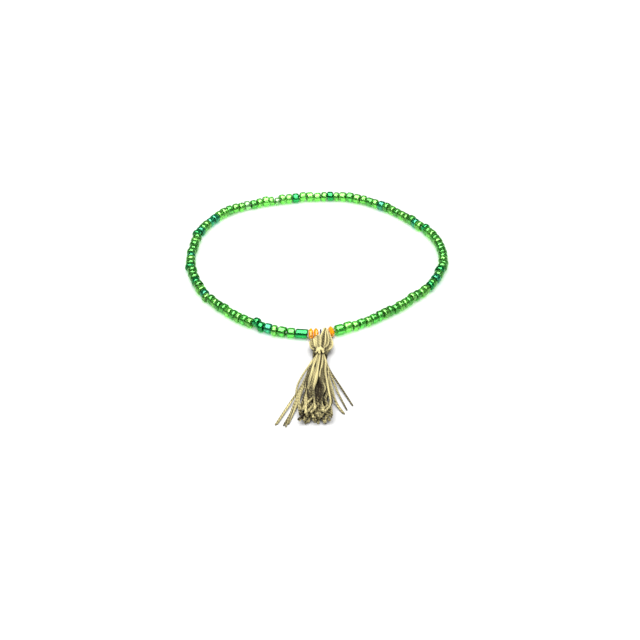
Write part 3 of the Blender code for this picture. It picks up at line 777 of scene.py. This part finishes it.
# The skirt: stations down it as shares of its length, and how the threads clump, wave and curl
# on their way, as shares of its half width
SKIRT_STATIONS = (0.16, 0.32, 0.5, 0.68, 0.86, 1.0)
THREAD_REACH = (0.91, 1.05)
PLACE_JITTER = 0.2
CLUMPS = 22
CLUMP_PULL = 0.6
PULL_RISE = 2
CLUMP_DRIFT = 0.10
DRIFT_RISE = 1.6
WAVE = 0.07
END_CURL = 0.26
END_DROOP = 0.30
END_SWELL = 1.25
# A thread's radius at the fold, base, crown, both bellies, both ends of the neck and stations
THREAD_SHARES = (0.2, 0.3, 0.8, 1.0, 1.0, 0.8, 0.8, 0.9, 1.0, 1.0, 1.0, 1.0, END_SWELL)

# Shades go from 0, deep brown, to 1, pale straw. The own and tip shades are random tone; the
# others are painted light and shade: lighter on the head, darker where threads sink in it, at
# the neck, deep in the skirt and towards the cut ends
HEAD_PAINTED_LIGHT = 0.82
BULGE_PAINTED_SHADE = 3.2
NECK_PAINTED_SHADE = 0.35
SKIRT_OUTSIDE_PAINTED_LIGHT = 0.66
CUT_END_PAINTED_SHADE = 0.40
TIP_SHADES = (0.0, 0.85)
DEEP_PAINTED_SHADE = -0.05
OWN_SHADES = (-0.42, -0.12, 0.08, 0.22)


def disc_places(count, dice):
    """Evenly spread places in a unit disc, by the golden angle."""
    golden = math.pi * (3 - math.sqrt(5))
    places = []
    for number in range(count):
        depth = math.sqrt((number + 0.5) / count)
        angle = number * golden + dice.uniform(-PLACE_JITTER, PLACE_JITTER)
        places.append(Vector((math.cos(angle) * depth, math.sin(angle) * depth)))
    return places


def clump_chart(dice):
    """Threads cling together in clumps: each has a place in the bundle and a drift of its own."""
    return [(place, [Vector((dice.gauss(0, CLUMP_DRIFT), dice.gauss(0, CLUMP_DRIFT)))
                     for _ in SKIRT_STATIONS])
            for place in disc_places(CLUMPS, dice)]


def half_thread(side, place, clumps, dice):
    """One leg of a thread, from the fold to its cut end, with its radii and its shades: a random
    tone of its own on painted light and shade along it.
    """
    thin = THREAD_DIAMETER / 2
    across, upright = place
    fold = FOLD + Vector((0, across * FOLD_SPREAD[0], upright * FOLD_SPREAD[1])) * MM
    base = BASE[side] + Vector((across * BASE_SPREAD[0], upright * BASE_SPREAD[1],
                                upright * BASE_SPREAD[2])) * MM
    fan, forward, drop = CROWN_SPREAD[side]
    crown = CROWN[side] + Vector(((across - side * 0.5) * fan, -abs(across) * forward,
                                  upright * CROWN_RISE - (abs(across) - 0.5) * drop)) * MM
    belly_centre = RING_CENTRE + Vector((HEAD_SIDE, -HEAD_LENGTH * BELLY_PLACE, 0))
    bulge = dice.uniform(BULGE_LEAST, 1.0)
    belly = Vector((belly_centre.x + across * bulge * (HEAD_WIDTH / 2 - thin), belly_centre.y,
                    HEAD_HEIGHT / 2 + upright * bulge * (HEAD_HEIGHT / 2 - thin)))
    if side > 0 and upright > 0:
        belly.x -= HEAD_LEAN * (1 - across)
    low_belly = belly.lerp(NECK, LOW_BELLY_PLACE)
    low_belly.x = NECK.x + (belly.x - NECK.x) * LOW_BELLY_WIDTH
    low_belly.z = NECK.z + (belly.z - NECK.z) * LOW_BELLY_WIDTH
    inner = NECK_DIAMETER / 2 - thin * NECK_INSET
    neck = NECK + Vector((across * inner, 0, upright * inner))
    run = Vector((0, NECK_RUN, 0))
    reach = dice.uniform(*THREAD_REACH)
    own = dice.choice(OWN_SHADES)
    points = [fold, base, crown, belly, low_belly, neck + run, neck - run]
    # Painted light and shade: the head is lighter, threads that bulge less sit deeper in it and
    # are darker, and the neck is darker
    sunk_painted_shade = HEAD_PAINTED_LIGHT - (1 - bulge) * BULGE_PAINTED_SHADE
    shades = [HEAD_PAINTED_LIGHT, HEAD_PAINTED_LIGHT, (HEAD_PAINTED_LIGHT + sunk_painted_shade) / 2, sunk_painted_shade, sunk_painted_shade, NECK_PAINTED_SHADE, NECK_PAINTED_SHADE]
    clump, drifts = min(clumps, key=lambda row: (row[0] - place).length)
    for share, drift in zip(SKIRT_STATIONS, drifts):
        at_end = share == 1.0
        loose = END_CURL if at_end else WAVE
        held = place.lerp(clump, CLUMP_PULL * min(1.0, share * PULL_RISE))
        stray = Vector((dice.gauss(0, loose), dice.gauss(0, loose)))
        spot = held + drift * min(1.0, share * DRIFT_RISE) + stray
        if at_end:
            spot.y -= END_DROOP
        if spot.length > 1.0:
            spot.normalize()
        points.append(skirt_point(share * reach, spot.x, spot.y, thin * END_SWELL))
        # Painted shade: threads deep in the bundle are darker, and all grow darker towards the cut
        # ends
        lit = DEEP_PAINTED_SHADE + (SKIRT_OUTSIDE_PAINTED_LIGHT - DEEP_PAINTED_SHADE) * spot.length ** 2
        shades.append(lit - CUT_END_PAINTED_SHADE * share ** 3)
    shades[-1] = dice.uniform(*TIP_SHADES) - own
    return points, [thin * share for share in THREAD_SHARES], [shade + own for shade in shades]


def model_tassel():
    """Threads in pairs of legs, a left one and a right one, and then the loose ends."""
    dice = random.Random(TASSEL_SEED)
    whole = bmesh.new()
    whole.verts.layers.float_vector.new("thread_turn")
    whole.verts.layers.float.new("thread_tone")
    places = disc_places(THREAD_ENDS, dice)
    clumps = clump_chart(dice)
    lefts = [place for place in places if place.x < 0]
    rights = [place for place in places if place.x >= 0]
    for left, right in zip(lefts, rights):
        legs = zip(half_thread(-1, left, clumps, dice), half_thread(1, right, clumps, dice))
        # The left leg runs from its cut end to the fold, and the right one goes on from there
        points, radii, shades = [one[::-1] + other[1:] for one, other in legs]
        curve = spline(points, False, THREAD_STEPS)
        add_to(whole, tube(curve, blend(radii, THREAD_STEPS), THREAD_SIDES,
                           blend(shades, THREAD_STEPS)))
    add_strays(whole, dice)
    return whole


# %% [markdown]
# ## Loose ends
#
# A few threads leave the skirt on either side and lie on the surface by themselves. Each is
# given by where it leaves, a point on its way and its tip.

# %% Loose ends of the skirt
# Columns: where each leaves the skirt and how far its tip reaches as shares of the skirt's
# length, and the sideways places of a point midway and of the tip as shares of its half width
LOOSE_ENDS = (
    (0.48, 1.05, -1.42, -2.10),
    (0.47, 1.04, -1.37, -2.01),
    (0.46, 1.08, -1.14, -1.54),
    (0.48, 1.06, -1.08, -1.66),
    (0.50, 1.04, -1.00, -1.40),
    (0.12, 0.78, -0.96, -0.98),
    (0.24, 0.75, 1.46, 2.06),
    (0.30, 0.82, 1.26, 1.74),
    (0.62, 0.88, 1.22, 1.60),
    (0.60, 0.87, 1.16, 1.52),
)
LOOSE_STEPS = 6
# Where they leave the neck and the skirt's side, as shares of its diameter and half width
LOOSE_NECK = 0.35
LOOSE_SIDE = 0.95
LOOSE_TOP = 1.5 * MM
# How high they lie midway and at the tip, and how thin both ends are, as shares of their radius
LOOSE_HEIGHTS = (3, 1.1)
LOOSE_THIN = 0.8


def add_strays(whole, dice):
    """Threads that lie by themselves beside the skirt."""
    thin = THREAD_DIAMETER / 2
    side_end = NECK.x + SKIRT_SIDE
    half = SKIRT_WIDTH / 2
    for leave, reach, middle, tip in LOOSE_ENDS:
        start, half_width, half_height = skirt_section(leave)
        start.x += math.copysign(half_width * LOOSE_SIDE, tip)
        start.z -= half_height / 6
        top = NECK + Vector((math.copysign(NECK_DIAMETER * LOOSE_NECK, tip), -LOOSE_TOP, 0))
        midway = (leave + reach) / 2
        points = [top, start,
                  Vector((side_end + middle * half, NECK.y - SKIRT_LENGTH * midway,
                          thin * LOOSE_HEIGHTS[0])),
                  Vector((side_end + tip * half, NECK.y - SKIRT_LENGTH * reach,
                          thin * LOOSE_HEIGHTS[1]))]
        radii = blend([thin * LOOSE_THIN, thin, thin, thin * LOOSE_THIN], LOOSE_STEPS)
        # Painted shade at the neck, then random tones
        shades = blend([NECK_PAINTED_SHADE, dice.random(), dice.random(), dice.random()], LOOSE_STEPS)
        add_to(whole, tube(spline(points, False, LOOSE_STEPS), radii, THREAD_SIDES, shades))


# %% [markdown]
# ## The binding
#
# The neck is wound with the same floss and knotted on top. The winding is a helix whose turns
# lean a little, and the knot is three short strands that cross over one another. The winding
# is painted in shade and the knot in painted highlight.

# %% Binding thread and knot
BINDING_TURNS = 5
BINDING_STEPS = 14
BINDING_SIDES = 8
BINDING_PITCH = BINDING_THREAD * 1.1
BINDING_LEAN = 0.18 * MM
LEAN_RATE = 1.13
BINDING_SLACK = (-0.03, 0.06)
BINDING_FORWARD = 0.5 * MM
KNOT_FORWARD = 0.6 * MM
KNOT_STEPS = 5
KNOT_SWELL = 1.4
# Painted shade on the winding and a painted highlight on the knot
WINDING_PAINTED_SHADE = 0.1
KNOT_PAINTED_HIGHLIGHT = 1.0

# Each strand of the knot by its points, in millimetres from the top of the winding
KNOT_STRANDS = (
    ((-1.0, -0.3, -0.6), (-0.6, 0.1, 0.05), (0.0, 0.35, 0.3), (0.55, 0.6, 0.05), (1.0, 0.9, -0.6)),
    ((1.0, -0.3, -0.6), (0.55, 0.1, 0.1), (-0.1, 0.2, 0.4), (-0.6, 0.6, 0.1), (-0.9, 1.0, -0.6)),
    ((-0.1, -0.8, -0.5), (-0.25, -0.3, 0.2), (0.1, 0.3, 0.5), (0.2, 0.9, 0.2), (0.0, 1.3, -0.5)),
)


def model_binding():
    """The helix round the neck and the strands of the knot."""
    dice = random.Random(TASSEL_SEED + 1)
    whole = bmesh.new()
    whole.verts.layers.float_vector.new("thread_turn")
    whole.verts.layers.float.new("thread_tone")
    thin = BINDING_THREAD / 2
    radius = NECK_DIAMETER / 2 + thin
    last = BINDING_TURNS * BINDING_STEPS
    points = []
    for number in range(last + 1):
        angle = math.tau * number / BINDING_STEPS + math.pi / 2
        along = (number / last - 0.5) * (BINDING_TURNS - 1) * BINDING_PITCH - BINDING_FORWARD
        lean = BINDING_LEAN * math.sin(angle * LEAN_RATE)
        swell = radius + dice.uniform(*BINDING_SLACK) * MM
        points.append(NECK + Vector((math.cos(angle) * swell, along + lean,
                                     math.sin(angle) * swell)))
    add_to(whole, tube(points, [thin] * len(points), BINDING_SIDES, [WINDING_PAINTED_SHADE] * len(points)))
    top = NECK + Vector((0, -BINDING_FORWARD - KNOT_FORWARD, radius + thin))
    for strand in KNOT_STRANDS:
        curve = spline([top + Vector(point) * MM for point in strand], False, KNOT_STEPS)
        add_to(whole, tube(curve, [thin * KNOT_SWELL] * len(curve), BINDING_SIDES,
                           [KNOT_PAINTED_HIGHLIGHT] * len(curve)))
    return whole


# %% [markdown]
# ## Cotton floss
#
# Mercerised cotton is twisted from two plies and has a silky sheen. The plies run round the
# thread about once a millimetre, so a sine of the angle plus the distance makes their bump,
# and the same sine paints light on the plies and shade between them into the colour. Each
# thread has a tone of its own, with painted light and shade along it.

# %% Cotton material
PLIES = 2.0
TWIST_PER_MM = 0.9
# Painted shade: how far the ply sine lightens and darkens the colour
PLY_PAINTED_SHADE = 0.22

cotton, shader = new_material("mercerised_cotton_floss")
turn = add_node(cotton, "ShaderNodeAttribute", {"attribute_name": "thread_turn"})
parts = add_node(cotton, "ShaderNodeSeparateXYZ", links={"Vector": turn.outputs["Vector"]})
angle = add_node(cotton, "ShaderNodeMath", {"operation": "ARCTAN2"},
                 {0: parts.outputs["Y"], 1: parts.outputs["X"]})
twice = add_node(cotton, "ShaderNodeMath", {"operation": "MULTIPLY"}, {0: angle.outputs[0]})
twice.inputs[1].default_value = PLIES
run = add_node(cotton, "ShaderNodeMath", {"operation": "MULTIPLY_ADD"},
               {0: parts.outputs["Z"], 2: twice.outputs[0]})
run.inputs[1].default_value = math.tau * TWIST_PER_MM
ply = add_node(cotton, "ShaderNodeMath", {"operation": "SINE"}, {0: run.outputs[0]})
tone = add_node(cotton, "ShaderNodeAttribute", {"attribute_name": "thread_tone"})
mixed = add_node(cotton, "ShaderNodeMath", {"operation": "MULTIPLY_ADD"},
                 {0: ply.outputs[0], 2: tone.outputs["Fac"]})
mixed.inputs[1].default_value = PLY_PAINTED_SHADE
ramp = add_node(cotton, "ShaderNodeValToRGB", links={"Fac": mixed.outputs[0]})
ramp.color_ramp.elements[0].position = 0.0
ramp.color_ramp.elements[0].color = (*linear("#170F00"), 1)
ramp.color_ramp.elements[1].position = 1.0
ramp.color_ramp.elements[1].color = (*linear("#BAAF7C"), 1)
wire(cotton, ramp.outputs["Color"], shader.inputs["Base Color"])
shader.inputs["Roughness"].default_value = 0.55
shader.inputs["Specular IOR Level"].default_value = 0.12
shader.inputs["Sheen Weight"].default_value = 0.08
shader.inputs["Sheen Roughness"].default_value = 0.4
bump = add_node(cotton, "ShaderNodeBump", links={"Height": ply.outputs[0]},
                Strength=0.5, Distance=0.06 * MM)
wire(cotton, bump.outputs["Normal"], shader.inputs["Normal"])

tassel = finish_piece("cotton_tassel", model_tassel(), cotton)
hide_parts("tassel")
binding = finish_piece("neck_binding", model_binding(), cotton)
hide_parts("tassel_binding")

# %% [markdown]
# ## Floor, lights and camera
#
# A product photograph of clear glass is lit from above through a wide diffuser, on white. The
# camera looks down at 35 degrees from the tassel's side through a long lens.

# %% Floor
FLOOR_REACH = 4.0
FLOOR_DROP = 0.02 * MM

floor_mesh = bpy.data.meshes.new("floor")
bm = bmesh.new()
bmesh.ops.create_grid(bm, x_segments=1, y_segments=1, size=FLOOR_REACH)
bm.to_mesh(floor_mesh)
bm.free()
floor_material, shader = new_material("white_paper_sweep")
shader.inputs["Base Color"].default_value = (*linear("#AAAAAA"), 1)
shader.inputs["Roughness"].default_value = 0.9
floor_mesh.materials.append(floor_material)
floor = bpy.data.objects.new("floor", floor_mesh)
floor.location.z = -FLOOR_DROP
bpy.context.scene.collection.objects.link(floor)

# %% Lights
# Columns: name, place, width and length, and power in watts
SOFTBOXES = (
    ("overhead", (-0.05, -0.12, 0.85), (1.06, 1.30), 34.0),
    ("front_fill", (0.25, -0.65, 0.35), (0.40, 0.30), 1.0),
)
WORLD_LIGHT = 0.08


def softbox(name, place, size, power):
    """A rectangular lamp turned to the middle of the anklet."""
    light = bpy.data.lights.new(name, "AREA")
    light.shape = "RECTANGLE"
    light.size, light.size_y = size
    light.energy = power
    lamp = bpy.data.objects.new(name, light)
    lamp.location = place
    lamp.rotation_euler = Vector(place).to_track_quat("Z", "Y").to_euler()
    bpy.context.scene.collection.objects.link(lamp)


for row in SOFTBOXES:
    softbox(*row)

world = bpy.data.worlds.new("studio")
world.use_nodes = True
world.node_tree.nodes["Background"].inputs["Color"].default_value = (1, 1, 1, 1)
world.node_tree.nodes["Background"].inputs["Strength"].default_value = WORLD_LIGHT
bpy.context.scene.world = world
bpy.context.scene.view_settings.view_transform = "Standard"
print(f"{len(SOFTBOXES)} softboxes")

# %% Camera
CAMERA_DISTANCE = 445 * MM
CAMERA_ELEVATION = math.radians(35)
FOCAL_PIXELS = 1531
PICTURE_PIXELS = 640
SENSOR_WIDTH = 36
CAMERA_AIM = HOME + Vector((0.709, -30.09, 0)) * MM

lens = bpy.data.cameras.new("camera")
lens.sensor_width = SENSOR_WIDTH
lens.lens = FOCAL_PIXELS / PICTURE_PIXELS * SENSOR_WIDTH
lens.clip_start = 10 * MM
camera = bpy.data.objects.new("camera", lens)
away = Vector((0, -math.cos(CAMERA_ELEVATION), math.sin(CAMERA_ELEVATION)))
camera.location = CAMERA_AIM + away * CAMERA_DISTANCE
camera.rotation_euler = (math.pi / 2 - CAMERA_ELEVATION, 0, 0)
bpy.context.scene.collection.objects.link(camera)
bpy.context.scene.camera = camera
print(f"a {lens.lens:.1f} mm lens, {CAMERA_DISTANCE / MM:.0f} mm away")
